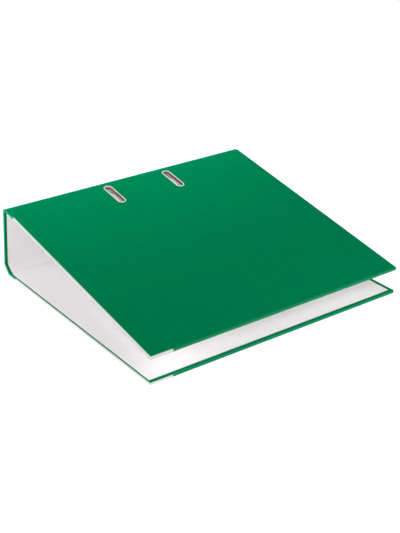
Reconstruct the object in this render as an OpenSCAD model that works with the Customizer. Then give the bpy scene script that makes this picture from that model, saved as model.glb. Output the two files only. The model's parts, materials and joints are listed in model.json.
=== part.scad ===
// Lever arch file, closed and lying on its back cover.
// +X points from the spine to the fore edge, +Y from the bottom edge to the top edge, +Z up.
// The origin is the middle of the back cover's underside. All sizes are millimetres and degrees.

/* [Covers] */
// Width of each cover from its crease to the fore edge
cover_w = 284; // [260:1:300]
// Height of the file from its bottom edge to its top edge
file_h = 318; // [290:1:345]
// Thickness of the board core
board_t = 2.2; // [1.8:0.1:2.8]
// Thickness of the green covering paper
wrap_t = 0.3; // [0.2:0.05:0.4]
// Thickness of the white lining paper
lining_t = 0.2; // [0.1:0.05:0.3]
// Width of covering paper that stays in sight along the fore edges and the top edge
turn_in = 4.5; // [3:0.5:6]
// Width of covering paper that stays in sight along the bottom edge of the spine and its strips
turn_in_low = 3; // [2:0.5:6]
// Width of covering paper that stays in sight along a cover's bottom edge, inside its rail
rail_margin = 1.7; // [1:0.1:4]
// Radius of each cover's free corner, at its fore edge and top edge
corner_r = 1.5; // [0.8:0.1:2]

/* [Folds] */
// Width of the scored hinge strip between the back cover and the spine
lower_strip_w = 13.4; // [12:0.2:15]
// Width of the scored hinge strip between the spine and the front cover
upper_strip_w = 7; // [6:0.2:9]
// Width of the flat spine between its creases
spine_w = 70.6; // [69:0.2:78]
// Turn at the crease between the back cover and the lower strip
back_turn = 45; // [44:0.5:46.5]
// Turn at the crease between the lower strip and the spine
spine_turn = 51.6; // [50.5:0.1:53]
// Turn at the crease between the spine and the upper strip
front_turn = 76.9; // [75.5:0.1:78]
// Turn at the crease between the upper strip and the front cover
cover_turn = 16.6; // [15:0.1:17.5]
// Outer radius of the fold between the spine and the upper strip
fold_r = 3; // [2.8:0.1:3.4]
// Room left on each side of a crease
crease_gap = 0.1; // [0.05:0.05:0.3]

/* [Edge rails] */
// Thickness of the metal edge rails, pressed flush into the covers
rail_t = 0.3; // [0.2:0.05:0.4]
// Width of the rail's lip on the outer face
rail_lip = 1.3; // [1:0.1:3]
// Distance from the rail's wall on the end face to the inner face
rail_back = 0.2; // [0.2:0.05:1]
// Distance from the crease to the start of the rail
rail_start = 16; // [8:1:24]
// Length of the corner tab along the fore edge
rail_tab = 26; // [15:1:40]

/* [Cover slots] */
// Length of the slot opening
slot_l = 36; // [30:0.5:37]
// Width of the slot opening
slot_w = 8; // [7:0.5:10]
// Distance from the top of the arch to the middle of the slot, towards the fore edge
slot_ahead = 3.5; // [3:0.5:6]
// Width of the domed rim on the outer face
rim_w = 1.3; // [1.1:0.1:2]
// Height of the domed rim
rim_h = 0.6; // [0.4:0.1:1]
// Thickness of the eyelet's collar in the board
collar_t = 0.5; // [0.3:0.1:0.8]
// Width of the flange clinched on the lining
clinch_w = 1.4; // [1:0.1:2]
// Thickness of the flange clinched on the lining
clinch_t = 0.4; // [0.3:0.1:0.5]

/* [Finger hole] */
// Bore of the finger ring in the spine
ring_bore = 25; // [20:0.5:30]
// Height of the ring's middle above the bottom edge
ring_up = 72; // [50:1:110]
// Width of the ring's domed rim
ring_rim_w = 3; // [2.4:0.2:4]
// Height of the ring's domed rim
ring_rim_h = 0.8; // [0.6:0.1:1.2]

/* [Base plate] */
// Thickness of the base plate and of what is bent up from it
plate_t = 1; // [0.8:0.1:1.2]
// Width of the base plate
plate_w = 50; // [48:1:54]
// Length of the base plate
plate_l = 150; // [146:1:170]
// Corner radius of the base plate
plate_r = 6; // [3:0.5:8]
// Distance from the posts to the plate's edge on the spine side
plate_back = 36; // [34:0.5:38]
// Shift of the mechanism from mid height towards the top edge
mech_up = 6; // [-6:0.5:8]
// Distance of a rivet's middle from the plate's edges
rivet_inset = 6; // [5.5:0.5:8]
// Diameter of a rivet's shank
rivet_d = 4; // [3:0.5:5]
// Diameter of a rivet's head
rivet_head_d = 8; // [6.5:0.5:9]
// Thickness of a rivet's flat head under the back cover
rivet_flat = 0.5; // [0.4:0.1:0.7]
// Height of a rivet's domed head on the plate
rivet_dome = 0.9; // [0.7:0.1:1.2]

/* [Posts and arches] */
// Distance between the two posts
post_pitch = 80; // [78:0.5:84]
// Distance of the posts from the back cover's crease
post_inset = 45.5; // [44.5:0.1:47]
// Diameter of the posts and of the arch wire
wire_d = 3.6; // [3.2:0.1:3.8]
// Diameter of the collar at the foot of a post
foot_d = 7; // [6:0.5:8]
// Height of the collar at the foot of a post
foot_h = 1.2; // [0.8:0.1:2]
// Gap between the end of an arch and its post
tip_gap = 0.1; // [0.05:0.05:0.3]
// Reach of the arch from its top to the post
arch_reach = 21; // [20:0.5:22]
// Bend radius of the arch on the post side
tip_bend = 19; // [17:0.5:19.5]
// Drop of the arch from its top to its tip on the post
tip_drop = 21; // [20:0.5:24]
// Bend radius of the arch on the spine side
arch_bend = 11; // [9:0.5:12]
// Height of the arch's top above the lining of the closed cover, inside the slot
arch_lift = 0.9; // [0.4:0.1:1]
// Distance from the posts to the shaft that joins the arches
shaft_back = 24; // [23:0.5:25]
// Height of the shaft's middle above the base plate
shaft_up = 5.3; // [5:0.1:6]
// Bend radius between an arch's leg and the shaft
leg_bend = 5; // [4:0.5:6]
// Throw of the crank that the lever's roller presses on
crank_throw = 8; // [7.5:0.5:9]
// Drop of the crank below the shaft
crank_drop = 2.25; // [2:0.05:2.4]
// Length of the crank along the shaft
crank_l = 24; // [22:1:26]
// Distance of the crank's middle from the mechanism's middle
crank_up = 15; // [14:0.5:16]
// Bend radius at the crank's corners
crank_bend = 3; // [2.4:0.2:3.4]
// Running gap round the shaft in its bearing lugs
shaft_play = 0.1; // [0.05:0.05:0.2]
// Length of a bearing lug along the shaft
lug_t = 1.5; // [1.2:0.1:2]
// Wall of a bearing lug round its bore
lug_wall = 1.4; // [1:0.1:1.6]

/* [Lever] */
// Length of the lever from its pivot to the end of its thumb tab
lever_l = 54; // [46:1:54]
// Clear width between the lever's walls
lever_gap = 8.6; // [8:0.1:9]
// Sheet thickness of the lever
lever_t = 1; // [0.8:0.1:1.1]
// Height of the lever's walls
lever_h = 5; // [4.4:0.1:5.4]
// Width of the thumb tab
tab_w = 15; // [12:0.5:17]
// Wall of a bracket ear round the pivot pin
ear_wall = 2.4; // [1.8:0.1:2.6]
// Diameter of the pivot pin
pivot_d = 3; // [2.6:0.1:3.2]
// Distance from the pivot pin to the roller pin
roller_arm = 5; // [4.8:0.1:5.6]
// Angle of the roller pin from straight below the pivot, towards the thumb tab
roller_angle = 18; // [16:0.5:24]
// Diameter of the roller
roller_d = 5.6; // [5:0.1:5.8]
// Diameter of the roller pin
roller_pin_d = 2; // [1.6:0.1:2.2]
// Gap between the roller and the crank
roller_gap = 0.15; // [0.1:0.05:0.3]
// Step from the roller down to the lever's walls round it
boss_step = 0.6; // [0.5:0.1:0.9]
// Side gap between lever, roller and bracket ears
side_gap = 0.3; // [0.2:0.05:0.4]
// Running gap round the pins
pin_play = 0.06; // [0.04:0.02:0.1]
// Thickness of the pivot pin's heads
pin_head = 0.6; // [0.4:0.1:0.8]
// Overhang of the pivot pin's heads all round
pin_rim = 1; // [0.6:0.1:1.4]

/* [Spring] */
// Wire diameter of the torsion spring
spring_wire = 1; // [0.8:0.1:1.1]
// Middle diameter of the coil
spring_d = 6.6; // [6.4:0.1:7]
// Number of turns, starting and ending below the shaft
spring_turns = 5; // [3:1:6]
// Distance along the shaft from one turn to the next
spring_pitch = 1.6; // [1.55:0.05:1.8]
// Gap between the coil's long leg and what it presses on
spring_gap = 0.1; // [0.05:0.05:0.2]
// Bend radius of the coil's long leg where it turns under the crank
arm_bend = 2.8; // [2.2:0.1:3.2]
// Gap along the shaft between the coil and the crank
coil_clear = 0.6; // [0.5:0.1:1.2]

/* [Compressor bar] */
// Length of the bar that holds the papers down
bar_l = 120; // [110:1:134]
// Width of the bar
bar_w = 14; // [12:0.5:15]
// Corner radius of the bar
bar_r = 5.5; // [2:0.5:5.9]
// Thickness of the bar
bar_t = 1.2; // [1:0.1:1.6]
// Distance from the posts to the bar's edge on the arch side
bar_back = 5; // [4.5:0.5:5.5]
// Outer diameter of the grommets that grip the posts
grommet_d = 8; // [7.5:0.5:8.5]
// Height of a grommet above the bar
grommet_h = 2.4; // [1.6:0.2:4]
// Running gap between a grommet and its post
grommet_play = 0.15; // [0.1:0.05:0.25]

/* [Hidden] */
$fn = 64;

// Colours of the finishes
green = [0.02, 0.46, 0.28];
grey_board = [0.55, 0.52, 0.47];
white_paper = [0.9, 0.88, 0.87];
nickel = [0.8, 0.8, 0.77];
dark_plastic = [0.12, 0.12, 0.13];

// Overshoot of every cutting shape
cut = 1;
// Fit of a collar or shank in its hole
fit = 0.05;
// A bent rod is drawn this much thinner in its bends, which reach this far into the straight runs
bend_thin = 0.02;
bend_lap = 0.2;

// The five panels in the order in which the board is folded, from back to front
BACK = 0;
LOWER = 1;
SPINE = 2;
UPPER = 3;
FRONT = 4;
widths = [cover_w, lower_strip_w, spine_w, upper_strip_w, cover_w];
turns = [back_turn, spine_turn, front_turn, cover_turn];
panel_t = wrap_t + board_t + lining_t;
rail_wall = panel_t - rail_back;

// Heading of a panel in the XZ plane, and the outer crease where it begins
function heading(i) = i < 1 ? 180 : heading(i - 1) - turns[i - 1];
function crease(i) = i < 1
    ? [cover_w / 2, 0]
    : crease(i - 1) + widths[i - 1] * [cos(heading(i - 1)), sin(heading(i - 1))];

// Height of the front cover's lining above a point of the back cover
function lining_z(x) =
    crease(FRONT).y + (x - crease(FRONT).x) * tan(heading(FRONT)) - panel_t / cos(heading(FRONT));

// Places of the mechanism
plate_z = panel_t + plate_t;
post_x = -cover_w / 2 + post_inset;
shaft_x = post_x - shaft_back;
shaft_z = plate_z + shaft_up;
apex_x = post_x - arch_reach;
apex_z = lining_z(apex_x) + arch_lift - wire_d / 2;
post_ys = [mech_up - post_pitch / 2, mech_up + post_pitch / 2];
post_top = apex_z - tip_drop - tip_gap;
slot_s = (apex_x + slot_ahead - crease(FRONT).x) / cos(heading(FRONT));
plate_x = post_x - plate_back;
rivet_xs = [plate_x + rivet_inset, plate_x + plate_w - rivet_inset];
rivet_ys = [mech_up - plate_l / 2 + rivet_inset, mech_up + plate_l / 2 - rivet_inset];

// Places of the crank, the lever and its roller
crank_x = shaft_x + crank_throw;
crank_z = shaft_z - crank_drop;
crank_ys = [mech_up + crank_up - crank_l / 2, mech_up + crank_up + crank_l / 2];
roller_z = crank_z + wire_d / 2 + roller_gap + roller_d / 2;
pivot_z = roller_z + roller_arm * cos(roller_angle);
pivot_y = mech_up + crank_up + roller_arm * sin(roller_angle);
wall_x = lever_gap / 2 + lever_t / 2;
ear_x = lever_gap / 2 + lever_t + side_gap + plate_t / 2;
ear_r = pivot_d / 2 + ear_wall;
lug_r = wire_d / 2 + shaft_play + lug_wall;
bar_z = plate_z + foot_h;
ring_y = ring_up - file_h / 2;

// Places of the spring: its coil ends beside the crank
spring_end = crank_ys[0] - wire_d / 2 - spring_wire - coil_clear;
spring_start = spring_end - spring_turns * spring_pitch;
// The lugs clear the bends, the coil and the crank
lug_ys = [
    post_ys[0] + leg_bend + 2 * lug_t,
    spring_start - spring_wire - 2 * lug_t,
    post_ys[1] - leg_bend - 1.5 * lug_t
];

// Puts its children on a panel: X along the fold, Z out of the outer face
module on_panel(i) {
    translate([crease(i).x, 0, crease(i).y])
        rotate([0, -heading(i), 0])
            children();
}

// Measures X from a cover's fore edge inwards
module from_fore_edge(i) {
    if (i == BACK)
        children();
    else
        translate([cover_w, 0, 0])
            mirror([1, 0, 0])
                children();
}

// Ends of a panel at depth v below its outer face, mitred at each crease
function near_end(i, v, edge, over) =
    i == BACK ? edge : v * tan(turns[i - 1] / 2) + crease_gap - over;
function far_end(i, v, edge, over) =
    i == FRONT ? cover_w - edge : widths[i] - v * tan(turns[i] / 2) - crease_gap + over;

// Width of covering paper in sight along a panel's bottom edge
function low_margin(i) = i == BACK || i == FRONT ? rail_margin : turn_in_low;

// What a section loses outside the rounded fold at the top of the spine, at depth v
module fold_corner(i, v) {
    reach = fold_r * tan(front_turn / 2);
    middle = i == SPINE ? spine_w - reach : reach;
    start = i == SPINE ? middle : -cut;
    if (i == SPINE || i == UPPER)
        difference() {
            translate([start, -fold_r])
                square([reach + cut, fold_r + cut]);
            translate([middle, -fold_r])
                circle(fold_r - v);
        }
}

// What a cover loses outside its round free corner, at a depth below its edges
module free_corner(i, depth) {
    if (i == BACK || i == FRONT)
        from_fore_edge(i)
            translate([corner_r, file_h / 2 - corner_r, -panel_t - cut])
                linear_extrude(panel_t + 2 * cut)
                    difference() {
                        translate([-corner_r - cut, 0])
                            square(corner_r + cut);
                        circle(corner_r - depth);
                    }
}

// One layer of a panel between two depths, kept back from the free edges and the bottom edge
module layer(i, top, bottom, edge = 0, low = 0, over = 0) {
    translate([0, (low - edge) / 2, 0])
        rotate([90, 0, 0])
            linear_extrude(file_h - edge - low, center = true)
                difference() {
                    polygon([
                        [near_end(i, top, edge, over), -top],
                        [far_end(i, top, edge, over), -top],
                        [far_end(i, bottom, edge, over), -bottom],
                        [near_end(i, bottom, edge, over), -bottom]
                    ]);
                    if (top <= wrap_t)
                        fold_corner(i, top);
                }
}

// Board core of a panel
module board_of(i, over = 0) {
    difference() {
        layer(i, wrap_t, wrap_t + board_t, wrap_t, wrap_t, over);
        free_corner(i, wrap_t);
    }
}

// Covering paper of a panel: outer sheet, wrapped edges and the turned-in margin
module wrap_of(i) {
    difference() {
        layer(i, 0, panel_t);
        free_corner(i, 0);
        board_of(i, cut);
        layer(i, wrap_t + board_t, panel_t + cut, turn_in, low_margin(i), cut);
    }
}

// Lining paper of a panel
module lining_of(i) {
    layer(i, wrap_t + board_t, panel_t, turn_in, low_margin(i));
}

// Angle rail along a cover's bottom edge, with its tab round the fore corner
module rail_shape(out = 0) {
    reach = cover_w - rail_start + out;
    y = -file_h / 2 - out;
    translate([-out, y, -rail_t])
        cube([reach, rail_lip + out, rail_t + out]);
    translate([-out, y, -rail_wall])
        cube([reach, rail_t + out, rail_wall + out]);
    translate([-out, y, -rail_t])
        cube([rail_lip + out, rail_tab + out, rail_t + out]);
    translate([-out, y, -rail_wall])
        cube([rail_t + out, rail_tab + out, rail_wall + out]);
}

// Round-ended slot outline
module slot_outline(length, width) {
    straight = length - width;
    square([straight, width], center = true);
    for (side = [-1, 1])
        translate([side * straight / 2, 0])
            circle(d = width);
}

// Section of an eyelet: domed rim, collar through the panel and clinched flange
module eyelet_section(inner_r, rim, height) {
    step = height / 3;
    rise = height - step;
    dome_r = (rim * rim / 4 + rise * rise) / (2 * rise);
    intersection() {
        translate([inner_r, 0])
            square([rim, height]);
        translate([inner_r + rim / 2, height - dome_r])
            circle(dome_r);
    }
    translate([inner_r, -panel_t - clinch_t])
        square([collar_t, panel_t + clinch_t + step]);
    translate([inner_r, -panel_t - clinch_t])
        square([clinch_w, clinch_t]);
}

// Slot eyelet swept round its opening
module slot_eyelet() {
    straight = slot_l - slot_w;
    for (turn = [0, 180])
        rotate([0, 0, turn]) {
            translate([straight / 2, 0, 0])
                rotate([0, 0, -90])
                    rotate_extrude(angle = 180)
                        eyelet_section(slot_w / 2, rim_w, rim_h);
            rotate([90, 0, 90])
                linear_extrude(straight, center = true)
                    eyelet_section(slot_w / 2, rim_w, rim_h);
        }
}

// Holes through the front cover for the two eyelets
module slot_holes() {
    for (y = post_ys)
        translate([slot_s, y, -panel_t - cut])
            linear_extrude(panel_t + 2 * cut)
                slot_outline(slot_l + 2 * (collar_t + fit), slot_w + 2 * (collar_t + fit));
}

// Hole through the spine for the finger ring
module ring_hole() {
    translate([spine_w / 2, ring_y, -panel_t - cut])
        cylinder(d = ring_bore + 2 * (collar_t + fit), h = panel_t + 2 * cut);
}

// Holes for the rivets, with pockets for their flat heads
module rivet_holes() {
    for (x = rivet_xs, y = rivet_ys)
        translate([x, y, 0]) {
            translate([0, 0, -cut])
                cylinder(d = rivet_d + 2 * fit, h = plate_z + 2 * cut);
            translate([0, 0, -cut])
                cylinder(d = rivet_head_d + 2 * fit, h = rivet_flat + cut);
        }
}

// Rectangle with round corners, from its lower left corner
module rounded_plate(size, r) {
    translate([r, 0])
        square([size.x - 2 * r, size.y]);
    translate([0, r])
        square([size.x, size.y - 2 * r]);
    for (x = [r, size.x - r], y = [r, size.y - r])
        translate([x, y])
            circle(r);
}

// Round-headed tab of height rise to its bore, standing on the X axis
module tab_outline(r, rise, bore) {
    difference() {
        union() {
            translate([-r, 0])
                square([2 * r, rise]);
            translate([0, rise])
                circle(r);
        }
        translate([0, rise])
            circle(d = bore);
    }
}

// Pin along X with a head at each end, centred on the lever
module headed_pin(d, head_d, reach) {
    rotate([0, 90, 0]) {
        cylinder(d = d, h = 2 * reach, center = true);
        for (side = [-1, 1])
            translate([0, 0, side * (reach + pin_head / 2)])
                cylinder(d = head_d, h = pin_head, center = true);
    }
}

// Unit vector along v
function unit(v) = v / norm(v);

// Bent round rod: straight runs between the corners, and an arc at each corner
module bent_rod(corners, radii, d) {
    last = len(corners) - 1;
    dirs = [for (i = [0 : last - 1]) unit(corners[i + 1] - corners[i])];
    bends = [for (i = [0 : last])
        i == 0 || i == last ? 0 : acos(dirs[i - 1] * dirs[i])];
    setbacks = [for (i = [0 : last]) radii[i] * tan(bends[i] / 2)];
    for (i = [0 : last - 1]) {
        run = norm(corners[i + 1] - corners[i]) - setbacks[i] - setbacks[i + 1];
        translate(corners[i] + setbacks[i] * dirs[i])
            aim(dirs[i])
                cylinder(d = d, h = run);
    }
    for (i = [1 : last - 1]) {
        along = dirs[i - 1];
        inward = unit(dirs[i] - (dirs[i] * along) * along);
        axis = cross(-inward, along);
        middle = corners[i] - setbacks[i] * along + radii[i] * inward;
        lap = bend_lap / radii[i] * 180 / PI;
        multmatrix([
            [-inward.x, along.x, axis.x, middle.x],
            [-inward.y, along.y, axis.y, middle.y],
            [-inward.z, along.z, axis.z, middle.z],
            [0, 0, 0, 1]
        ])
            rotate([0, 0, -lap])
                rotate_extrude(angle = bends[i] + 2 * lap)
                    translate([radii[i], 0])
                        circle(d = d - 2 * bend_thin);
    }
}

// Turns Z to a unit direction
module aim(dir) {
    rotate([0, acos(dir.z), atan2(dir.y, dir.x)])
        children();
}

// Corner where an arch's leg, tangent to its inner bend, meets the level of its top
arch_rise = apex_z - arch_bend - shaft_z;
leg_lean = atan2(arch_rise, apex_x - shaft_x)
    + asin(arch_bend / norm([apex_x - shaft_x, arch_rise]));
shoulder_x = shaft_x + (apex_z - shaft_z) / tan(leg_lean);

// Corners of one arch, from its tip to the shaft
function arch_corners(y) = [
    [post_x, y, apex_z - tip_drop],
    [post_x, y, apex_z],
    [shoulder_x, y, apex_z],
    [shaft_x, y, shaft_z]
];
// Corners of the crank between the two stretches of shaft
crank_corners = [
    [shaft_x, crank_ys[0], shaft_z],
    [crank_x, crank_ys[0], crank_z],
    [crank_x, crank_ys[1], crank_z],
    [shaft_x, crank_ys[1], shaft_z]
];
arch_radii = [0, tip_bend, arch_bend, leg_bend];
crank_radii = [crank_bend, crank_bend, crank_bend, crank_bend];

// Route of the spring's wire: a short leg down to the plate, the coil and a long leg under the crank
coil_r = spring_d / 2;
coil_steps = 8;
foot_angle = 330;
foot_fall = shaft_z + coil_r * sin(foot_angle) - plate_z - spring_wire / 2 - spring_gap;
arm_z = crank_z - wire_d / 2 - spring_gap - spring_wire / 2;
function coil_point(a) = [
    shaft_x + coil_r * cos(a),
    spring_start + spring_pitch * (a - foot_angle) / 360,
    shaft_z + coil_r * sin(a)
];
coil_turn = 360 * spring_turns - 60;
coil_points = [for (k = [0 : coil_steps * spring_turns])
    coil_point(foot_angle + coil_turn * k / (coil_steps * spring_turns))];
foot_point = coil_points[0] + foot_fall / cos(foot_angle) * [sin(foot_angle), 0, -cos(foot_angle)];
arm_y = coil_points[len(coil_points) - 1].y;
arm_points = concat(
    [[shaft_x + coil_r, arm_y, (shaft_z - coil_r + arm_z) / 2]],
    [for (a = [0 : 30 : 90])
        [crank_x - arm_bend * (1 - sin(a)), arm_y + arm_bend * (1 - cos(a)), arm_z]],
    [[crank_x, crank_ys[0] + 2 * crank_bend, arm_z]]
);
spring_route = concat([foot_point], coil_points, arm_points);

// Least gap between turns of the coil
spring_gaps = [for (i = [0 : len(coil_points) - 1], j = [0 : len(coil_points) - 1])
    if (j - i > coil_steps / 2) norm(coil_points[i] - coil_points[j]) - spring_wire];
echo(least_spring_gap = min(spring_gaps));

// Round tube of few sides along a route, with its section carried along without twisting
module tube(route, d, sides) {
    last = len(route) - 1;
    dirs = [for (i = [0 : last]) unit(route[min(i + 1, last)] - route[max(i - 1, 0)])];
    first = unit(cross(dirs[0], [0, 1, 0]));
    sideways = [for (
        i = 0, n = first;
        i <= last;
        i = i + 1, n = i > last ? n : unit(n - (n * dirs[i]) * dirs[i])
    ) n];
    points = [for (i = [0 : last], k = [0 : sides - 1])
        let (a = 360 * k / sides)
        route[i] + d / 2 * (cos(a) * sideways[i] + sin(a) * cross(dirs[i], sideways[i]))];
    quads = [for (i = [0 : last - 1], k = [0 : sides - 1])
        let (next = (k + 1) % sides)
        [i * sides + k, i * sides + next, (i + 1) * sides + next, (i + 1) * sides + k]];
    walls = [for (q = quads, half = [0, 1])
        half == 0 ? [q[2], q[1], q[0]] : [q[3], q[2], q[0]]];
    caps = [for (k = [1 : sides - 2], end = [0, 1])
        end == 0 ? [0, k, k + 1] : [last * sides, last * sides + k + 1, last * sides + k]];
    polyhedron(points, concat(walls, caps));
}

// Back cover
module back_board() {
    color(grey_board)
        difference() {
            on_panel(BACK)
                difference() {
                    board_of(BACK);
                    rail_shape(cut);
                }
            rivet_holes();
        }
}
module back_wrap() {
    color(green)
        difference() {
            on_panel(BACK)
                difference() {
                    wrap_of(BACK);
                    rail_shape(cut);
                }
            rivet_holes();
        }
}
module back_lining() {
    color(white_paper)
        difference() {
            on_panel(BACK)
                lining_of(BACK);
            rivet_holes();
        }
}
module back_rail() {
    color(nickel)
        on_panel(BACK)
            rail_shape();
}

// Hinge strip between the back cover and the spine
module lower_strip_board() {
    color(grey_board)
        on_panel(LOWER)
            board_of(LOWER);
}
module lower_strip_wrap() {
    color(green)
        on_panel(LOWER)
            wrap_of(LOWER);
}
module lower_strip_lining() {
    color(white_paper)
        on_panel(LOWER)
            lining_of(LOWER);
}

// Spine with its finger ring
module spine_board() {
    color(grey_board)
        on_panel(SPINE)
            difference() {
                board_of(SPINE);
                ring_hole();
            }
}
module spine_wrap() {
    color(green)
        on_panel(SPINE)
            difference() {
                wrap_of(SPINE);
                ring_hole();
            }
}
module spine_lining() {
    color(white_paper)
        on_panel(SPINE)
            difference() {
                lining_of(SPINE);
                ring_hole();
            }
}
module finger_ring() {
    color(nickel)
        on_panel(SPINE)
            translate([spine_w / 2, ring_y, 0])
                rotate_extrude()
                    eyelet_section(ring_bore / 2, ring_rim_w, ring_rim_h);
}

// Hinge strip between the spine and the front cover
module upper_strip_board() {
    color(grey_board)
        on_panel(UPPER)
            board_of(UPPER);
}
module upper_strip_wrap() {
    color(green)
        on_panel(UPPER)
            wrap_of(UPPER);
}
module upper_strip_lining() {
    color(white_paper)
        on_panel(UPPER)
            lining_of(UPPER);
}

// Front cover with its two slots
module front_board() {
    color(grey_board)
        on_panel(FRONT)
            difference() {
                board_of(FRONT);
                from_fore_edge(FRONT)
                    rail_shape(cut);
                slot_holes();
            }
}
module front_wrap() {
    color(green)
        on_panel(FRONT)
            difference() {
                wrap_of(FRONT);
                from_fore_edge(FRONT)
                    rail_shape(cut);
                slot_holes();
            }
}
module front_lining() {
    color(white_paper)
        on_panel(FRONT)
            difference() {
                lining_of(FRONT);
                slot_holes();
            }
}
module front_rail() {
    color(nickel)
        on_panel(FRONT)
            from_fore_edge(FRONT)
                rail_shape();
}
module eyelet_at(y) {
    color(nickel)
        on_panel(FRONT)
            translate([slot_s, y, 0])
                slot_eyelet();
}
module lower_eyelet() {
    eyelet_at(post_ys[0]);
}
module upper_eyelet() {
    eyelet_at(post_ys[1]);
}

// Base plate with the lever's ears and the shaft's lugs bent up from it
module base_plate() {
    window = [2 * ear_x - plate_t, crank_l - 4 * wire_d];
    color(nickel) {
        difference() {
            translate([plate_x, mech_up - plate_l / 2, panel_t])
                linear_extrude(plate_t)
                    rounded_plate([plate_w, plate_l], plate_r);
            rivet_holes();
            for (y = post_ys)
                translate([post_x, y, 0])
                    cylinder(d = wire_d + 2 * fit, h = plate_z + cut);
            translate([crank_x - window.x / 2, mech_up + crank_up - window.y / 2, panel_t - cut])
                linear_extrude(plate_t + 2 * cut)
                    rounded_plate(window, plate_t);
        }
        for (side = [-1, 1])
            translate([crank_x + side * ear_x, pivot_y, plate_z])
                rotate([90, 0, 90])
                    linear_extrude(plate_t, center = true)
                        tab_outline(ear_r, pivot_z - plate_z, pivot_d + 2 * fit);
        for (y = lug_ys)
            translate([shaft_x, y, plate_z])
                rotate([90, 0, 0])
                    linear_extrude(lug_t, center = true)
                        tab_outline(lug_r, shaft_up, wire_d + 2 * shaft_play);
    }
}

// Rivets that hold the base plate to the back cover
module rivets() {
    dome_r = (rivet_head_d * rivet_head_d / 4 + rivet_dome * rivet_dome) / (2 * rivet_dome);
    color(nickel)
        for (x = rivet_xs, y = rivet_ys)
            translate([x, y, 0])
                rotate_extrude() {
                    square([rivet_head_d / 2, rivet_flat]);
                    square([rivet_d / 2, plate_z + rivet_dome / 2]);
                    intersection() {
                        translate([0, plate_z])
                            square([rivet_head_d / 2, rivet_dome]);
                        translate([0, plate_z + rivet_dome - dome_r])
                            circle(dome_r);
                    }
                }
}

// Fixed post with a collar at its foot and a chamfered end under the arch
module post_at(y) {
    chamfer = wire_d / 8;
    color(nickel)
        translate([post_x, y, 0])
            rotate_extrude()
                polygon([
                    [0, panel_t], [wire_d / 2, panel_t], [wire_d / 2, plate_z],
                    [foot_d / 2, plate_z], [foot_d / 2, bar_z], [wire_d / 2, bar_z],
                    [wire_d / 2, post_top - chamfer], [wire_d / 2 - chamfer, post_top], [0, post_top]
                ]);
}
module lower_post() {
    post_at(post_ys[0]);
}
module upper_post() {
    post_at(post_ys[1]);
}

// Both arches, their shaft and its crank, bent from one wire
module arch_wire() {
    lower = arch_corners(post_ys[0]);
    upper = arch_corners(post_ys[1]);
    backwards = [for (i = [3 : -1 : 0]) upper[i]];
    color(nickel)
        bent_rod(
            concat(lower, crank_corners, backwards),
            concat(arch_radii, crank_radii, [for (i = [3 : -1 : 0]) arch_radii[i]]),
            wire_d
        );
}

// Torsion spring that swings the arches open
module torsion_spring() {
    color(nickel)
        tube(spring_route, spring_wire, 6);
}

// Lever bent from sheet: two walls, a web on top and a rounded thumb tab
module lever() {
    roller = roller_arm * [sin(roller_angle), -cos(roller_angle)];
    boss_r = roller_d / 2 - boss_step;
    web_start = ear_r + lever_t;
    tab_r = tab_w / 2;
    straight = lever_l - tab_r;
    half_w = wall_x + lever_t / 2;
    color(nickel)
        translate([crank_x, pivot_y, pivot_z])
            rotate([0, 0, -90]) {
                for (side = [-1, 1])
                    translate([0, side * wall_x, 0])
                        rotate([90, 0, 0])
                            linear_extrude(lever_t, center = true)
                                difference() {
                                    union() {
                                        circle(lever_h / 2 + lever_t);
                                        translate([0, -lever_h / 2])
                                            square([straight, lever_h]);
                                        translate(roller)
                                            circle(boss_r);
                                        polygon([
                                            [-lever_h / 2, 0], roller - [boss_r, 0],
                                            roller + [boss_r, 0], [lever_h, 0]
                                        ]);
                                    }
                                    circle(d = pivot_d + 2 * pin_play);
                                    translate(roller)
                                        circle(d = roller_pin_d + 2 * fit);
                                }
                translate([0, 0, lever_h / 2 - lever_t])
                    linear_extrude(lever_t) {
                        translate([web_start, -half_w])
                            square([straight - web_start, 2 * half_w]);
                        translate([straight, 0])
                            circle(tab_r);
                    }
            }
}

// Pin that the lever turns on, fixed in the bracket's ears
module pivot_pin() {
    color(nickel)
        translate([crank_x, pivot_y, pivot_z])
            headed_pin(pivot_d, pivot_d + 2 * pin_rim, ear_x + plate_t / 2);
}

// Roller that presses the crank down, and its pin
module roller() {
    color(dark_plastic)
        translate([crank_x, pivot_y - roller_arm * sin(roller_angle), roller_z])
            rotate([0, 90, 0])
                difference() {
                    cylinder(d = roller_d, h = lever_gap - 2 * side_gap, center = true);
                    cylinder(d = roller_pin_d + 2 * pin_play, h = lever_gap + cut, center = true);
                }
}
module roller_pin() {
    reach = wall_x + lever_t / 2;
    color(nickel)
        translate([crank_x, pivot_y - roller_arm * sin(roller_angle), roller_z])
            rotate([0, 90, 0])
                cylinder(d = roller_pin_d, h = 2 * reach, center = true);
}

// Bar that slides on the posts and holds the papers down
module compressor_bar() {
    color(nickel)
        translate([post_x - bar_back, mech_up - bar_l / 2, bar_z])
            difference() {
                linear_extrude(bar_t)
                    rounded_plate([bar_w, bar_l], bar_r);
                for (side = [-1, 1])
                    translate([bar_back, bar_l / 2 + side * post_pitch / 2, -cut])
                        cylinder(d = grommet_d - 2 * bar_t + 2 * fit, h = bar_t + 2 * cut);
            }
}

// Plastic grommets snapped into the bar, which grip the posts
module grommets() {
    neck_r = grommet_d / 2 - bar_t;
    bore_r = wire_d / 2 + grommet_play;
    color(dark_plastic)
        for (y = post_ys)
            translate([post_x, y, bar_z])
                rotate_extrude()
                    polygon([
                        [bore_r, 0], [neck_r, 0], [neck_r, bar_t], [grommet_d / 2, bar_t],
                        [neck_r, bar_t + grommet_h], [bore_r, bar_t + grommet_h]
                    ]);
}

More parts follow.
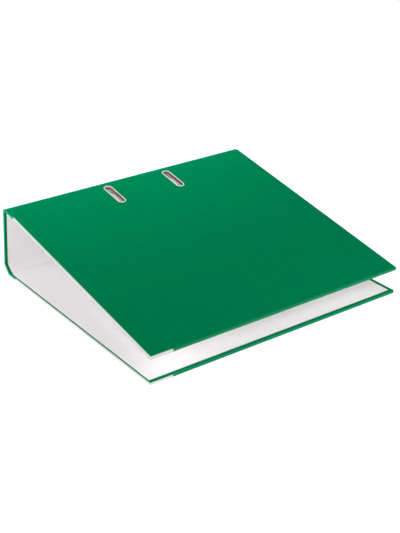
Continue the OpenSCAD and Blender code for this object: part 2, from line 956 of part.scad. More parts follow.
back_board();
back_wrap();
back_lining();
back_rail();
lower_strip_board();
lower_strip_wrap();
lower_strip_lining();
spine_board();
spine_wrap();
spine_lining();
finger_ring();
upper_strip_board();
upper_strip_wrap();
upper_strip_lining();
front_board();
front_wrap();
front_lining();
front_rail();
lower_eyelet();
upper_eyelet();
base_plate();
rivets();
lower_post();
upper_post();
arch_wire();
torsion_spring();
lever();
pivot_pin();
roller();
roller_pin();
compressor_bar();
grommets();
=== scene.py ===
# %% [markdown]
# # A lever arch file, dressed for its portrait
# The packed CAD model gives every solid piece of the file: boards, papers, rails, eyelets and the
# mechanism inside. This lesson keeps those solids where they are and adds what CAD leaves out,
# which is the finish of each surface and the paper that runs on across the folds. Each step first
# says what the real piece is, and then makes it.

import json
import math

import bpy
import numpy as np
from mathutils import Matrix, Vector


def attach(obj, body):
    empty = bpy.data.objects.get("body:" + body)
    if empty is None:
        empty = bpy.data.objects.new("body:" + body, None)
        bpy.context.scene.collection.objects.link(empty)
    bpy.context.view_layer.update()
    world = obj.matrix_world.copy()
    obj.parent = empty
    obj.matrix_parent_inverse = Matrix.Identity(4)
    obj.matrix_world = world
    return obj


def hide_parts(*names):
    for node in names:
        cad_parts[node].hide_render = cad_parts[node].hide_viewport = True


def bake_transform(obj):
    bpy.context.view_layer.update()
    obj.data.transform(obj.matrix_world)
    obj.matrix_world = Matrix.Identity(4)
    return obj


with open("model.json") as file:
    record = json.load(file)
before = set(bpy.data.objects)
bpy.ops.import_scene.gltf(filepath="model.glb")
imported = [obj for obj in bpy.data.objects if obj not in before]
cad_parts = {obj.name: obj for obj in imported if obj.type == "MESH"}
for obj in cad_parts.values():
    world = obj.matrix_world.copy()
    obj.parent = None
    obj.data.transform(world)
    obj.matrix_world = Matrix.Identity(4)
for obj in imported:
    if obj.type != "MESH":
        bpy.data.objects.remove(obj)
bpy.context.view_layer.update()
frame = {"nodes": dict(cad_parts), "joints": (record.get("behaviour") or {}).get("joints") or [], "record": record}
nodes = frame["nodes"]
joint_at = {j["name"]: j for j in frame["joints"]}
scene = bpy.context.scene
print("pieces from CAD:", len(nodes))

# %% [markdown]
# ## The camera
# The picture was taken from above, over the corner where the bottom edge meets the fore edge. A
# pinhole camera was fitted to the outline of the file, which gave a place, two angles and a focal
# length in pixels. A lens in millimetres follows from the height of the picture and the height of
# the sensor, so that no helper has to know the size of the render.

# %% Make the camera
PICTURE_HEIGHT = 533
FOCAL_PIXELS = 1135.87
SENSOR_MM = 36.0
CAMERA_PLACE = Vector((0.90077, -0.6533, 0.57319))
CAMERA_AZIMUTH = math.radians(53.964)
CAMERA_ELEVATION = math.radians(26.391)

lens = bpy.data.cameras.new("portrait_lens")
lens.sensor_fit = "AUTO"
lens.sensor_width = SENSOR_MM
lens.lens = FOCAL_PIXELS * SENSOR_MM / PICTURE_HEIGHT
camera = bpy.data.objects.new("portrait_camera", lens)
scene.collection.objects.link(camera)
looking = Vector(
    (
        -math.cos(CAMERA_ELEVATION) * math.sin(CAMERA_AZIMUTH),
        math.cos(CAMERA_ELEVATION) * math.cos(CAMERA_AZIMUTH),
        -math.sin(CAMERA_ELEVATION),
    )
)
camera.location = CAMERA_PLACE
camera.rotation_euler = looking.to_track_quat("-Z", "Y").to_euler()
scene.camera = camera
print("lens:", round(lens.lens, 2), "mm")

# %% [markdown]
# ## Writing finishes as sums
# A finish mixes several patterns, and wiring each sum by hand hides what it means. The first class
# below wraps one socket, so that `1 - mask` or `grain * 0.3` adds the Math node by itself. Every
# other node comes from one method of the second class, which takes the kind of node, its settings
# and what goes into its sockets.


# %% A socket that knows sums
class Value:
    """One output socket of a finish, which can be used in sums."""

    def __init__(self, finish, socket):
        self.finish = finish
        self.socket = socket

    def math(self, operation, first, second):
        return self.finish.add("ShaderNodeMath", {"operation": operation}, {0: first, 1: second})

    def __add__(self, other):
        return self.math("ADD", self, other)

    def __sub__(self, other):
        return self.math("SUBTRACT", self, other)

    def __rsub__(self, other):
        return self.math("SUBTRACT", other, self)

    def __mul__(self, other):
        return self.math("MULTIPLY", self, other)

    def __abs__(self):
        return self.math("ABSOLUTE", self, 0.0)

    def larger(self, other):
        return self.math("MAXIMUM", self, other)

    __radd__ = __add__
    __rmul__ = __mul__


print("reflected sums:", [word for word in vars(Value) if word.startswith("__r")])


# %% A finish that makes nodes
class Finish:
    """A material, or the world, that is built node by node."""

    def __init__(self, name, owner=None):
        self.owner = owner or bpy.data.materials.new(name)
        self.owner.use_nodes = True
        self.tree = self.owner.node_tree
        self.tree.nodes.clear()

    def add(self, kind, settings=None, sockets=None, out=0):
        node = self.tree.nodes.new(kind)
        for name, setting in (settings or {}).items():
            setattr(node, name, setting)
        for name, value in (sockets or {}).items():
            if isinstance(value, Value):
                self.tree.links.new(value.socket, node.inputs[name])
            else:
                node.inputs[name].default_value = value
        return Value(self, node.outputs[out]) if node.outputs else None

    def place(self, stretch=(1.0, 1.0, 1.0)):
        """The place on the piece, in metres, at which a pattern is read."""
        spot = self.add("ShaderNodeTexCoord", out="Object")
        return self.add("ShaderNodeMapping", {}, {"Vector": spot, "Scale": stretch})

    def part(self, vector, axis):
        """One of the numbers X, Y and Z of a vector."""
        return self.add("ShaderNodeSeparateXYZ", {}, {"Vector": vector}, out=axis)

    def along(self, vector, axis):
        """How far a vector reaches along an axis."""
        settings = {"operation": "DOT_PRODUCT"}
        return self.add("ShaderNodeVectorMath", settings, {0: vector, 1: axis}, out="Value")

    def noise(self, where, scale, detail):
        sockets = {"Vector": where, "Scale": scale, "Detail": detail}
        return self.add("ShaderNodeTexNoise", {}, sockets)

    def band(self, value, low, high):
        """0 below low, 1 above high, and smooth between them."""
        settings = {"interpolation_type": "SMOOTHSTEP"}
        sockets = {"Value": value, "From Min": low, "From Max": high}
        return self.add("ShaderNodeMapRange", settings, sockets)

    def blend_colours(self, factor, first, second):
        """A Mix node has sockets for each kind of data: 6 and 7 take colours, and 2 gives one."""
        sockets = {0: factor, 6: first, 7: second}
        return self.add("ShaderNodeMix", {"data_type": "RGBA"}, sockets, out=2)

    def bump(self, height, depth, strength):
        sockets = {"Height": height, "Distance": depth, "Strength": strength}
        return self.add("ShaderNodeBump", {}, sockets)

    def surface(self, sockets):
        shader = self.add("ShaderNodeBsdfPrincipled", {}, sockets)
        self.add("ShaderNodeOutputMaterial", {}, {"Surface": shader})
        return self.owner


finishes = {}
print("a finish can make:", [word for word in vars(Finish) if not word.startswith("_")])


# %% Colours as a paint chart gives them
def linear(red, green, blue):
    """A colour as a paint chart gives it, from 0 to 255, in Blender's linear light."""
    shares = [c / 255 for c in (red, green, blue)]
    light = [c / 12.92 if c <= 0.04045 else ((c + 0.055) / 1.055) ** 2.4 for c in shares]
    return (*light, 1.0)


print("half of white in linear light:", round(linear(128, 128, 128)[0], 3))

# %% [markdown]
# ## Green covering paper
# The board is wrapped in a deep green printed paper. It is nearly matte, with a fine tooth that the
# eye reads as an even satin. Three noises of different sizes give the tooth, the pale flecks where
# the ink was pressed thin, and a faint unevenness of the ink. Hands and shelves rub the ink thin
# along the free edges first, so a narrow band there is a little paler. A mirror shine would look
# like foil, so only a weak sheen, tinted like the paper, lifts it at flat angles. A picture of paper
# would need a texture file, while noise follows the surface at any distance.

# %% Make the covering paper
# A noise is given as its cells in a metre and its levels of detail, and a relief as its depth in
# metres and its strength.
INK_TOOTH = (1500.0, 3.0)
INK_PRESS = (850.0, 3.0)
INK_CLOUD = (38.0, 4.0)
INK_TONES = (linear(0, 112, 65), linear(0, 119, 71))
FLECK_TONE = linear(0, 138, 86)
FLECK_BAND = (0.4, 0.7)
FLECK_SHARE = 0.7
HALF_HEIGHT = 0.159
FORE_EDGE = 0.1418
RUB_WIDTH = 0.0012
RUB_TONE = linear(60, 150, 112)
RUB_SHARE = 0.5
INK_ROUGH, INK_ROUGH_SPREAD = 0.5, 0.16
INK_RELIEF = (0.0001, 0.5)


def make_covering_paper():
    paper = Finish("covering_paper")
    spot = paper.place()
    tooth = paper.noise(spot, *INK_TOOTH)
    pressed = paper.noise(spot, *INK_PRESS)
    cloud = paper.noise(spot, *INK_CLOUD)
    at_ends = paper.band(abs(paper.part(spot, "Y")), HALF_HEIGHT - RUB_WIDTH, HALF_HEIGHT)
    at_fore = paper.band(paper.part(spot, "X"), FORE_EDGE - RUB_WIDTH, FORE_EDGE)
    rubbed = at_ends.larger(at_fore)
    flecks = paper.band(pressed, *FLECK_BAND)
    ink = paper.blend_colours(cloud, *INK_TONES)
    ink = paper.blend_colours(flecks * FLECK_SHARE, ink, FLECK_TONE)
    ink = paper.blend_colours(rubbed * tooth * RUB_SHARE, ink, RUB_TONE)
    return paper.surface(
        {
            "Base Color": ink,
            "Roughness": INK_ROUGH + tooth * INK_ROUGH_SPREAD,
            "Specular IOR Level": 0.0,
            "Sheen Weight": 0.25,
            "Sheen Roughness": 0.35,
            "Sheen Tint": (0.0, 0.9, 0.8, 1.0),
            "Normal": paper.bump(tooth + pressed, *INK_RELIEF),
        }
    )


finishes["covering_paper"] = make_covering_paper()
print("finish:", finishes["covering_paper"].name)

# %% [markdown]
# ## White lining paper and raw board
# The inside is lined with an uncoated white sheet that has soft fibres and hardly any shine. One
# plain white would look like plastic, so a broad noise and a stretched one shift its tone a little.
# The grey board lies between the two papers and hardly shows. Where a gap at a fold lets the eye in,
# its pressed fibres give a speckle.

# %% Make the lining
LINING_FIBRE = (900.0, 4.0)
LINING_CLOUD = (22.0, 3.0)
FIBRE_STRETCH = (1.0, 0.35, 1.0)
LINING_TONES = (linear(247, 244, 245), linear(250, 248, 249))
FIBRE_TONE = linear(228, 223, 219)
FIBRE_SHARE = 0.12
LINING_ROUGH, LINING_ROUGH_SPREAD = 0.72, 0.16
LINING_RELIEF = (0.00005, 0.3)


def make_lining_paper():
    paper = Finish("lining_paper")
    fibre = paper.noise(paper.place(FIBRE_STRETCH), *LINING_FIBRE)
    cloud = paper.noise(paper.place(), *LINING_CLOUD)
    tone = paper.blend_colours(cloud, *LINING_TONES)
    tone = paper.blend_colours(fibre * FIBRE_SHARE, tone, FIBRE_TONE)
    return paper.surface(
        {
            "Base Color": tone,
            "Roughness": LINING_ROUGH + fibre * LINING_ROUGH_SPREAD,
            "Specular IOR Level": 0.25,
            "Normal": paper.bump(fibre, *LINING_RELIEF),
        }
    )


finishes["lining_paper"] = make_lining_paper()
print("finish:", finishes["lining_paper"].name)

# %% Make the board
BOARD_FLECK = (1400.0, 5.0)
BOARD_PULP = (500.0, 3.0)
PULP_STRETCH = (1.0, 1.0, 3.0)
BOARD_TONES = (linear(120, 112, 102), linear(156, 148, 136))
BOARD_ROUGH, BOARD_ROUGH_SPREAD = 0.85, 0.1
BOARD_RELIEF = (0.0001, 0.5)


def make_board_core():
    board = Finish("board_core")
    fleck = board.noise(board.place(), *BOARD_FLECK)
    pulp = board.noise(board.place(PULP_STRETCH), *BOARD_PULP)
    return board.surface(
        {
            "Base Color": board.blend_colours(fleck, *BOARD_TONES),
            "Roughness": BOARD_ROUGH + pulp * BOARD_ROUGH_SPREAD,
            "Specular IOR Level": 0.2,
            "Normal": board.bump(pulp, *BOARD_RELIEF),
        }
    )


finishes["board_core"] = make_board_core()
print("finish:", finishes["board_core"].name)

# %% [markdown]
# ## Plated metal
# Rails, eyelets and mechanism are nickel plated steel. Rails and mechanism are rolled or drawn along
# their length, so the fine scratches that catch the light run that way, and stretching the noise
# along one axis gives them. An eyelet is pressed, and its grain has no direction. The plating itself
# is even, and only its roughness wanders a little. The wall of an eyelet's tube, which stands square
# to the cover, has painted shade in its colour, pale by the rim and dark at its foot. The side that a
# face looks to tells the wall from the rim, and a height along the cover's normal finds the foot.

# %% Tell an eyelet's wall from its rim
COVER_SLOPE = math.radians(10.1)
SPINE_LEAN = math.radians(6.6)
COVER_NORMAL = (math.sin(COVER_SLOPE), 0.0, math.cos(COVER_SLOPE))
SPINE_NORMAL = (-math.cos(SPINE_LEAN), 0.0, math.sin(SPINE_LEAN))
SPINE_REGION = (-0.139, -0.1395)
RIM_BAND = (0.1, 0.6)
# Painted shade on an eyelet's tube wall: dark at its foot and pale near the rim.
TUBE_SHADE_DARK = linear(72, 65, 60)
TUBE_SHADE_PALE = linear(200, 186, 168)
TUBE_SHADE_LEVELS = (0.0530, 0.0536)


def looks_along(metal, axis):
    """1 where a face looks along the axis, either way, and 0 where it stands square to it."""
    return abs(metal.along(metal.add("ShaderNodeTexCoord", out="Normal"), axis))


def painted_tube_shade(metal, tone):
    """The tone on the rim, and painted shade on the wall below it, darkest at its foot. The finger ring lies in
    the spine.
    """
    spot = metal.place()
    in_spine = metal.band(metal.part(spot, "X"), *SPINE_REGION)
    on_cover = looks_along(metal, COVER_NORMAL) * (1 - in_spine)
    rim = on_cover + looks_along(metal, SPINE_NORMAL) * in_spine
    height = metal.along(spot, COVER_NORMAL)
    # Painted shade: the wall goes from the dark tone at its foot to the pale one near the rim.
    wall = metal.blend_colours(metal.band(height, *TUBE_SHADE_LEVELS), TUBE_SHADE_DARK, TUBE_SHADE_PALE)
    return metal.blend_colours(metal.band(rim, *RIM_BAND), wall, tone)


print("the cover looks to", [round(n, 3) for n in COVER_NORMAL])

# %% Make the three metals
METAL_GRAIN = (1600.0, 4.0)
METAL_CLOUD = (60.0, 3.0)
GRAIN_ROUGH = 0.12
CLOUD_ROUGH = 0.04
SCRATCH_DEPTH = 0.00002
METALS = {
    "edge_rail": {
        "tones": (linear(200, 205, 197), linear(214, 218, 210)),
        "stretch": (0.04, 1.0, 1.0),
        "rough": 0.3,
        "scratch": 0.25,
    },
    "eyelet_nickel": {
        "tones": (linear(230, 231, 217), linear(240, 241, 229)),
        "stretch": (1.0, 1.0, 1.0),
        "rough": 0.24,
        "scratch": 0.12,
        # The eyelets' tube walls get painted shade.
        "tube": True,
    },
    "mechanism_steel": {
        "tones": (linear(212, 203, 195), linear(226, 218, 211)),
        "stretch": (1.0, 0.05, 1.0),
        "rough": 0.24,
        "scratch": 0.2,
    },
}


def make_metal(name, tones, stretch, rough, scratch, tube=False):
    metal = Finish(name)
    grain = metal.noise(metal.place(stretch), *METAL_GRAIN)
    cloud = metal.noise(metal.place(), *METAL_CLOUD)
    tone = metal.blend_colours(cloud, *tones)
    return metal.surface(
        {
            # Only the eyelets get painted shade on their tube walls.
            "Base Color": painted_tube_shade(metal, tone) if tube else tone,
            "Metallic": 1.0,
            "Roughness": rough + grain * GRAIN_ROUGH + cloud * CLOUD_ROUGH,
            "Normal": metal.bump(grain, SCRATCH_DEPTH, scratch),
        }
    )


for name, facts in METALS.items():
    finishes[name] = make_metal(name, **facts)
print("finishes:", list(finishes))

# %% [markdown]
# ## Black moulded plastic
# The roller and the grommets of the compressor bar are moulded. The mould is spark eroded, which
# leaves a fine even grain, and plastic keeps a soft shine on it. One plain black would look like a
# hole, so the grain changes the tone and the shine together.

# %% Make the plastic
PLASTIC_GRAIN = (2600.0, 2.0)
PLASTIC_TONES = (linear(26, 26, 28), linear(38, 38, 41))
PLASTIC_ROUGH, PLASTIC_ROUGH_SPREAD = 0.42, 0.2
PLASTIC_RELIEF = (0.00003, 0.4)


def make_dark_plastic():
    plastic = Finish("dark_plastic")
    grain = plastic.noise(plastic.place(), *PLASTIC_GRAIN)
    return plastic.surface(
        {
            "Base Color": plastic.blend_colours(grain, *PLASTIC_TONES),
            "Roughness": PLASTIC_ROUGH + grain * PLASTIC_ROUGH_SPREAD,
            "Normal": plastic.bump(grain, *PLASTIC_RELIEF),
        }
    )


finishes["dark_plastic"] = make_dark_plastic()
print("finish:", finishes["dark_plastic"].name)

# %% [markdown]
# ## Dress the CAD pieces
# The record says which finish each solid has, so one loop dresses them all and no second list has to
# be kept. Their meshes stay as they are, and only the material in their slots changes.

# %% Give each solid its finish
for row in frame["record"]["subparts"]:
    solid = nodes[row["node"]]
    solid.data.materials.clear()
    solid.data.materials.append(finishes[row["material_slot"]])

# %% [markdown]
# ## A smooth coil for the torsion spring
# The spring that throws the arches open is wound from one wire. Its CAD solid has few faces, so a
# finer one takes its place on the same route: a short foot, nearly five turns round the shaft and a
# long leg under the crank. A route that is swept with a round section is what Geometry Nodes are
# good at: the tree turns the edges into a curve, resamples it evenly, and sweeps a circle along it.

# %% The wire's route, in metres
SHAFT = Vector((-0.1205, 0.0, 0.009))
COIL_RADIUS = 0.0033
COIL_START = -0.0024
COIL_PITCH = 0.0016
COIL_STEPS = 160
COIL_SWEEP = math.radians(1740)
FOOT_ANGLE = math.radians(330)
FOOT = Vector((-0.119403, -0.0024, 0.0043))
CRANK_X = -0.1125
ARM_BEND = 0.0028
ARM_BEND_DEGREES = range(0, 91, 15)
ARM_END = 0.015
ARM_Z = 0.00435


def coil_point(share):
    angle = FOOT_ANGLE + COIL_SWEEP * share
    along = COIL_START + COIL_PITCH * COIL_SWEEP * share / math.tau
    turned = Vector((math.cos(angle), 0.0, math.sin(angle)))
    return SHAFT + COIL_RADIUS * turned + Vector((0.0, along, 0.0))


coil = [coil_point(k / COIL_STEPS) for k in range(COIL_STEPS + 1)]
arm_y = coil[-1].y
arm = [Vector((SHAFT.x + COIL_RADIUS, arm_y, (coil[-1].z + ARM_Z) / 2))]
for degrees in ARM_BEND_DEGREES:
    a = math.radians(degrees)
    reach = CRANK_X - ARM_BEND * (1 - math.sin(a))
    arm.append(Vector((reach, arm_y + ARM_BEND * (1 - math.cos(a)), ARM_Z)))
arm.append(Vector((CRANK_X, ARM_END, ARM_Z)))
spring_route = [FOOT, *coil, *arm]
print("points on the spring's route:", len(spring_route))


# %% Helpers for a tree of nodes
def new_tree(name, inputs):
    """An empty tree with the named inputs, its input node and its output node."""
    tree = bpy.data.node_groups.new(name, "GeometryNodeTree")
    face = tree.interface
    face.new_socket("Geometry", in_out="INPUT", socket_type="NodeSocketGeometry")
    for label, kind in inputs.items():
        face.new_socket(label, in_out="INPUT", socket_type="NodeSocket" + kind)
    face.new_socket("Geometry", in_out="OUTPUT", socket_type="NodeSocketGeometry")
    return tree, tree.nodes.new("NodeGroupInput"), tree.nodes.new("NodeGroupOutput")


def add_nodes(tree, family, kinds):
    return [tree.nodes.new(family + kind) for kind in kinds]


def wire_up(tree, wires):
    for source, out, target, socket in wires:
        tree.links.new(source.outputs[out], target.inputs[socket])


def end_tree(tree, given, shape, result):
    """Smooths a shape, makes it real, gives it its finish and hands it out."""
    kinds = ["SetShadeSmooth", "RealizeInstances", "SetMaterial"]
    smooth, real, dressed = add_nodes(tree, "GeometryNode", kinds)
    wires = [
        (shape, 0, smooth, "Geometry"),
        (smooth, 0, real, "Geometry"),
        (real, 0, dressed, "Geometry"),
        (given, "Finish", dressed, "Material"),
        (dressed, 0, result, 0),
    ]
    wire_up(tree, wires)


print("trees so far:", len(bpy.data.node_groups))


# %% A tree that sweeps a round wire
def make_wire_tree():
    inputs = {"Radius": "Float", "Step": "Float", "Sides": "Int", "Finish": "Material"}
    tree, given, result = new_tree("swept_wire", inputs)
    kinds = ["MeshToCurve", "ResampleCurve", "CurvePrimitiveCircle", "CurveToMesh"]
    route, even, circle, tube = add_nodes(tree, "GeometryNode", kinds)
    even.mode = "LENGTH"
    tube.inputs["Fill Caps"].default_value = True
    wires = [
        (given, "Geometry", route, "Mesh"),
        (route, "Curve", even, "Curve"),
        (given, "Step", even, "Length"),
        (given, "Radius", circle, "Radius"),
        (given, "Sides", circle, "Resolution"),
        (even, "Curve", tube, "Curve"),
        (circle, "Curve", tube, "Profile Curve"),
    ]
    wire_up(tree, wires)
    end_tree(tree, given, tube, result)
    return tree


wire_tree = make_wire_tree()
print("tree:", wire_tree.name)

# %% Grow the tree on a route and keep a plain mesh
WIRE_RADIUS = 0.0005
WIRE_STEP = 0.00022
WIRE_SIDES = 14


def grow(name, route, tree, values):
    """Runs a tree on a row of points, and returns the result as a plain object."""
    edges = [(k, k + 1) for k in range(len(route) - 1)]
    start = bpy.data.meshes.new(name + "_start")
    start.from_pydata([tuple(p) for p in route], edges, [])
    seed = bpy.data.objects.new(name + "_seed", start)
    scene.collection.objects.link(seed)
    modifier = seed.modifiers.new("grow", "NODES")
    modifier.node_group = tree
    sockets = {s.name: s.identifier for s in tree.interface.items_tree if s.in_out == "INPUT"}
    for label, value in values.items():
        modifier[sockets[label]] = value
    graph = bpy.context.evaluated_depsgraph_get()
    mesh = bpy.data.meshes.new_from_object(seed.evaluated_get(graph))
    mesh.name = name
    seed.modifiers.remove(modifier)
    bpy.data.objects.remove(seed)
    piece = bpy.data.objects.new(name, mesh)
    scene.collection.objects.link(piece)
    return piece


coil_wire = grow(
    "spring_wire",
    spring_route,
    wire_tree,
    {
        "Radius": WIRE_RADIUS,
        "Step": WIRE_STEP,
        "Sides": WIRE_SIDES,
        "Finish": finishes["mechanism_steel"],
    },
)
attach(coil_wire, "back_cover")
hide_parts("torsion_spring")
print("spring faces:", len(coil_wire.data.polygons))

# %% [markdown]
# ## Paper across the folds
# On the real file one sheet of green paper and one of white run over all five panels, and the board
# under them is only scored, so the paper is the hinge. The CAD panels end at the scores. A narrow
# strip of paper therefore bridges each score inside and outside. Inside, the strip is white, but
# green for a few millimetres at both ends, where the covering paper is turned in. The strip could be
# drawn flat, but the board pushes the paper into a soft roll, so its section turns by a smooth rule,
# and its borders sink into the panels' own paper.

# %% Where the scores are
PANEL_THICK = 0.0027
FILE_SPAN = (-0.1589, 0.1589)
LINING_SPAN = (-0.156, 0.1545)
MARGIN_SPANS = {"low": (-0.1589, -0.1559), "top": (0.1544, 0.1589)}
FOLDS = ["spine_lower_fold", "spine_fold", "cover_fold", "cover_upper_fold"]
score_at = [Vector(joint_at[f]["pos_m"]) for f in FOLDS]
score_turn = [math.radians(joint_at[f]["range_deg"][1]) for f in FOLDS]
headings = [math.pi]
for turn in score_turn:
    headings.append(headings[-1] - turn)
print("panel headings:", [round(math.degrees(h), 1) for h in headings])

# %% Sections of the paper at a score
SECTION_STEPS = 40


def direction(angle):
    return np.array([math.cos(angle), math.sin(angle)])


def outward(angle):
    return np.array([-math.sin(angle), math.cos(angle)])


def score_section(index, depth, radius, reach, lift, sink):
    """Points in XZ from panel to panel, round and lifted at the score, and sunk at the ends."""
    before, after = headings[index], headings[index + 1]
    turn = before - after
    corner = np.array([score_at[index].x, score_at[index].z])
    middle = (before + after) / 2
    corner = corner - outward(middle) * depth / math.cos(turn / 2)
    flat = radius * math.tan(turn / 2)
    centre = corner - outward(middle) * radius / math.cos(turn / 2)
    run = reach - flat + radius * turn / 2
    points = []
    for k in range(SECTION_STEPS + 1):
        s = -run + 2 * run * k / SECTION_STEPS
        near = 1 - (s / run) ** 2
        height = -sink + (lift + sink) * near * near
        past = abs(s) - radius * turn / 2
        if past > 0:
            face = before if s < 0 else after
            foot = centre + outward(face) * radius + direction(face) * math.copysign(past, s)
        else:
            face = middle - s / radius
            foot = centre + outward(face) * radius
        points.append(foot + outward(face) * height)
    return points


print("points in a section:", SECTION_STEPS + 1)


# %% A tree that sweeps a section along the file's height
def make_paper_tree():
    """Bends a flat grid: its X is a share of the section, and its Y runs along the file."""
    inputs = {"Height": "Float", "Middle": "Float", "Across": "Int", "Along": "Int"}
    tree, given, result = new_tree("swept_paper", {**inputs, "Finish": "Material"})
    kinds = ["MeshToCurve", "MeshGrid", "SampleCurve", "InputPosition", "SetPosition"]
    section, grid, sample, flat, bent = add_nodes(tree, "GeometryNode", kinds)
    kinds = ["SeparateXYZ", "SeparateXYZ", "CombineXYZ", "Math", "Math"]
    split, rolled, spot, share, level = add_nodes(tree, "ShaderNode", kinds)
    # The grid's X runs from -0.5 to 0.5, and the share of the section from 0 to 1.
    grid.inputs["Size X"].default_value = 1.0
    share.inputs[1].default_value = 0.5
    sample.use_all_curves = True
    wires = [
        (given, "Geometry", section, "Mesh"),
        (given, "Height", grid, "Size Y"),
        (given, "Across", grid, "Vertices X"),
        (given, "Along", grid, "Vertices Y"),
        (flat, "Position", split, "Vector"),
        (split, "X", share, 0),
        (section, "Curve", sample, "Curves"),
        (share, 0, sample, "Factor"),
        (sample, "Position", rolled, "Vector"),
        (split, "Y", level, 0),
        (given, "Middle", level, 1),
        (rolled, "X", spot, "X"),
        (level, 0, spot, "Y"),
        (rolled, "Z", spot, "Z"),
        (grid, "Mesh", bent, "Geometry"),
        (spot, "Vector", bent, "Position"),
    ]
    wire_up(tree, wires)
    end_tree(tree, given, bent, result)
    return tree


paper_tree = make_paper_tree()
print("tree:", paper_tree.name)

# %% Helpers that lay a strip of paper
SHEET = 0.00012
ACROSS = 49
ALONG = 24
INWARDS = -1.0
SHARP_FROM = math.radians(40.0)


def thicken(piece):
    """Gives a thin sheet its thickness on the side of the board."""
    wall = piece.modifiers.new("wall", "SOLIDIFY")
    wall.thickness = SHEET
    wall.offset = INWARDS
    graph = bpy.context.evaluated_depsgraph_get()
    mesh = bpy.data.meshes.new_from_object(piece.evaluated_get(graph))
    mesh.set_sharp_from_angle(angle=SHARP_FROM)
    piece.modifiers.remove(wall)
    piece.data = mesh
    mesh.name = piece.name


def lay_paper(name, index, span, finish, spread, **section):
    """Lays a strip over a score, bent on either side of it. The spread is not used."""
    middle = sum(span) / 2
    points = [(x, middle, z) for x, z in score_section(index, **section)]
    values = {
        "Height": span[1] - span[0],
        "Middle": middle,
        "Across": ACROSS,
        "Along": ALONG,
        "Finish": finishes[finish],
    }
    strip = grow(name, points, paper_tree, values)
    thicken(strip)
    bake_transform(strip)


print("a strip has", ACROSS, "by", ALONG, "points on each side")

# %% Lay the paper over each score
NAMES = ["lower", "spine_foot", "spine_top", "upper"]
OUTER_ROUND = [0.0001, 0.0002, 0.003, 0.002]
OUTER_REACH = [0.006, 0.006, 0.0045, 0.0032]
OUTER_LIFT = [0.00005, 0.00009, 0.00006, 0.00006]
OUTER_SINK = 0.00003
OUTER_SPREAD = 0.0012
INNER_ROUND = 0.0002
INNER_REACH = [0.0045, 0.0045, 0.0023, 0.0023]
INNER_LIFT = -0.00012
INNER_SINK = 0.00005
INNER_SPREAD = 0.0021

for i, label in enumerate(NAMES):
    outer = {
        "depth": 0.0,
        "radius": OUTER_ROUND[i],
        "reach": OUTER_REACH[i],
        "lift": OUTER_LIFT[i],
        "sink": OUTER_SINK,
    }
    inner = {
        "depth": PANEL_THICK,
        "radius": INNER_ROUND,
        "reach": INNER_REACH[i],
        "lift": INNER_LIFT,
        "sink": INNER_SINK,
    }
    lay_paper(f"outer_paper_{label}", i, FILE_SPAN, "covering_paper", OUTER_SPREAD, **outer)
    lay_paper(f"inner_paper_{label}", i, LINING_SPAN, "lining_paper", INNER_SPREAD, **inner)
    for end, span in MARGIN_SPANS.items():
        lay_paper(f"{end}_margin_{label}", i, span, "covering_paper", INNER_SPREAD, **inner)
print("strips of paper:", (2 + len(MARGIN_SPANS)) * len(NAMES))

# %% [markdown]
# At the two ends of a score the green paper also turns round the edge of the board. When the fold
# opens, the edge of the board gapes like a V. A small cap of paper on each end spans that V. A flat
# patch on one panel would leave the other bare, so the cap reaches onto both panels.

# %% Cap the ends of each score
# The depths are shares of the panel's thickness, from the outer face to the inner one.
CAP_LEVEL = 0.15903
CAP_REACH = 0.0016
CAP_DEPTHS = (0.02, 1.08)
CAP_ROWS = 6
CAP_COLUMNS = 17


def cap_points(index, level):
    before, after = headings[index], headings[index + 1]
    outer = np.array([score_at[index].x, score_at[index].z])
    through = outward((before + after) / 2) * PANEL_THICK / math.cos((before - after) / 2)
    points = []
    for depth in np.linspace(*CAP_DEPTHS, CAP_ROWS):
        for aside in np.linspace(-CAP_REACH, CAP_REACH, CAP_COLUMNS):
            foot = outer - through * depth + direction(before if aside < 0 else after) * aside
            points.append((foot[0], level, foot[1]))
    return points


def cap_score(name, index, level):
    points = cap_points(index, level)
    corners = [r * CAP_COLUMNS + c for r in range(CAP_ROWS - 1) for c in range(CAP_COLUMNS - 1)]
    faces = [(k, k + 1, k + CAP_COLUMNS + 1, k + CAP_COLUMNS) for k in corners]
    mesh = bpy.data.meshes.new(name)
    mesh.from_pydata(points, [], faces)
    if mesh.polygons[0].normal.y * level < 0:
        mesh.flip_normals()
    mesh.materials.append(finishes["covering_paper"])
    cap = bpy.data.objects.new(name, mesh)
    scene.collection.objects.link(cap)
    thicken(cap)
    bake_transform(cap)


for i, label in enumerate(NAMES):
    cap_score(f"low_cap_{label}", i, -CAP_LEVEL)
    cap_score(f"top_cap_{label}", i, CAP_LEVEL)
print("caps:", 2 * len(NAMES))

# %% [markdown]
# ## Floor and light
# The file lies on a white ground in soft light, with hardly a shadow. A floor of plain white would
# need strong lamps to look white, and these would bleach the paper. The floor therefore glows to the
# eye and in mirrors, and still takes the shadow through its own dull white. The sky does the same:
# it is white to the eye, and as a lamp it is bright low down, like white walls, and dim overhead.

# %% Make the floor
FLOOR_HALF = 6.0
FLOOR_DROP = -0.0003
FLOOR_BOUNCE = (0.85, 0.85, 0.85, 1.0)
FLOOR_SHADE = (0.3, 0.3, 0.3, 1.0)
FLOOR_GLOW = 0.92


def seen_directly(finish):
    eye, mirror, glass = (
        finish.add("ShaderNodeLightPath", out=name)
        for name in ("Is Camera Ray", "Is Glossy Ray", "Is Transmission Ray")
    )
    return eye.larger(mirror).larger(glass)


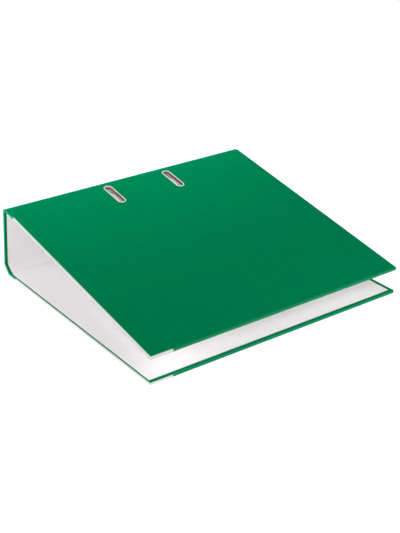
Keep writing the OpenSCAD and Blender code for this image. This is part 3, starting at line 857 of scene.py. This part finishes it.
def make_floor():
    ground = Finish("white_ground")
    bounce = ground.add("ShaderNodeBsdfDiffuse", {}, {"Color": FLOOR_BOUNCE})
    shade = ground.add("ShaderNodeBsdfDiffuse", {}, {"Color": FLOOR_SHADE})
    glow = ground.add("ShaderNodeEmission", {}, {"Strength": FLOOR_GLOW})
    both = ground.add("ShaderNodeAddShader", {}, {0: shade, 1: glow})
    shown = ground.add("ShaderNodeMixShader", {}, {0: seen_directly(ground), 1: bounce, 2: both})
    ground.add("ShaderNodeOutputMaterial", {}, {"Surface": shown})
    mesh = bpy.data.meshes.new("floor")
    corners = [(-1, -1), (1, -1), (1, 1), (-1, 1)]
    places = [(x * FLOOR_HALF, y * FLOOR_HALF, FLOOR_DROP) for x, y in corners]
    mesh.from_pydata(places, [], [(0, 1, 2, 3)])
    mesh.materials.append(ground.owner)
    floor = bpy.data.objects.new("floor", mesh)
    scene.collection.objects.link(floor)


make_floor()
print("floor at", FLOOR_DROP)

# %% Make the sky
WALL_LIGHT = 1.8
WALL_TOP = 0.5
CEILING_LIGHT = 0.1
WHITE = (1, 1, 1, 1)


def make_sky():
    world = bpy.data.worlds.new("white_sky")
    scene.world = world
    sky = Finish("white_sky", world)
    height = sky.part(sky.add("ShaderNodeTexCoord", out="Generated"), "Z")
    walls, ceiling, seen = (
        sky.add("ShaderNodeBackground", {}, {"Color": WHITE, "Strength": strength})
        for strength in (WALL_LIGHT, CEILING_LIGHT, 1.0)
    )
    overhead = sky.band(height, 0.0, WALL_TOP)
    lamp = sky.add("ShaderNodeMixShader", {}, {0: overhead, 1: walls, 2: ceiling})
    mixed = sky.add("ShaderNodeMixShader", {}, {0: seen_directly(sky), 1: lamp, 2: seen})
    sky.add("ShaderNodeOutputWorld", {}, {"Surface": mixed})


make_sky()
print("sky:", scene.world.name)

# %% [markdown]
# Three soft lamps give the light its direction. They show neither to the eye nor in the metal, which
# mirrors the white room instead. A long narrow lamp over the spine leans away from the file, so that
# its light falls off towards the fore edge. A low one at the bottom edge shines into the opening, and
# one in front of the fore edge lights the gap between the covers.

# %% Add the lamps
# Places and sizes are in metres, and powers in watts.
LAMPS = {
    "back_softbox": {
        "place": (-0.17, 0.04, 0.5),
        "target": (-0.67, 0.04, 0.15),
        "size": (0.6, 0.08),
        "power": 2.9,
    },
    "opening_softbox": {
        "place": (-0.18, -0.72, 0.22),
        "target": (-0.09, 0.0, 0.03),
        "size": (0.9, 0.4),
        "power": 5.5,
    },
    "fore_softbox": {
        "place": (0.6, 0.2, 0.33),
        "target": (0.1, 0.06, 0.03),
        "size": (0.5, 0.5),
        "power": 3.2,
    },
}


def add_lamp(name, place, target, size, power):
    lamp = bpy.data.lights.new(name, "AREA")
    lamp.shape = "ELLIPSE"
    lamp.size, lamp.size_y = size
    lamp.energy = power
    stand = bpy.data.objects.new(name, lamp)
    scene.collection.objects.link(stand)
    stand.location = place
    stand.visible_camera = False
    stand.visible_glossy = False
    stand.rotation_euler = (Vector(target) - Vector(place)).to_track_quat("-Z", "Y").to_euler()


for name, facts in LAMPS.items():
    add_lamp(name, **facts)
scene.view_settings.view_transform = "Standard"

# %% [markdown]
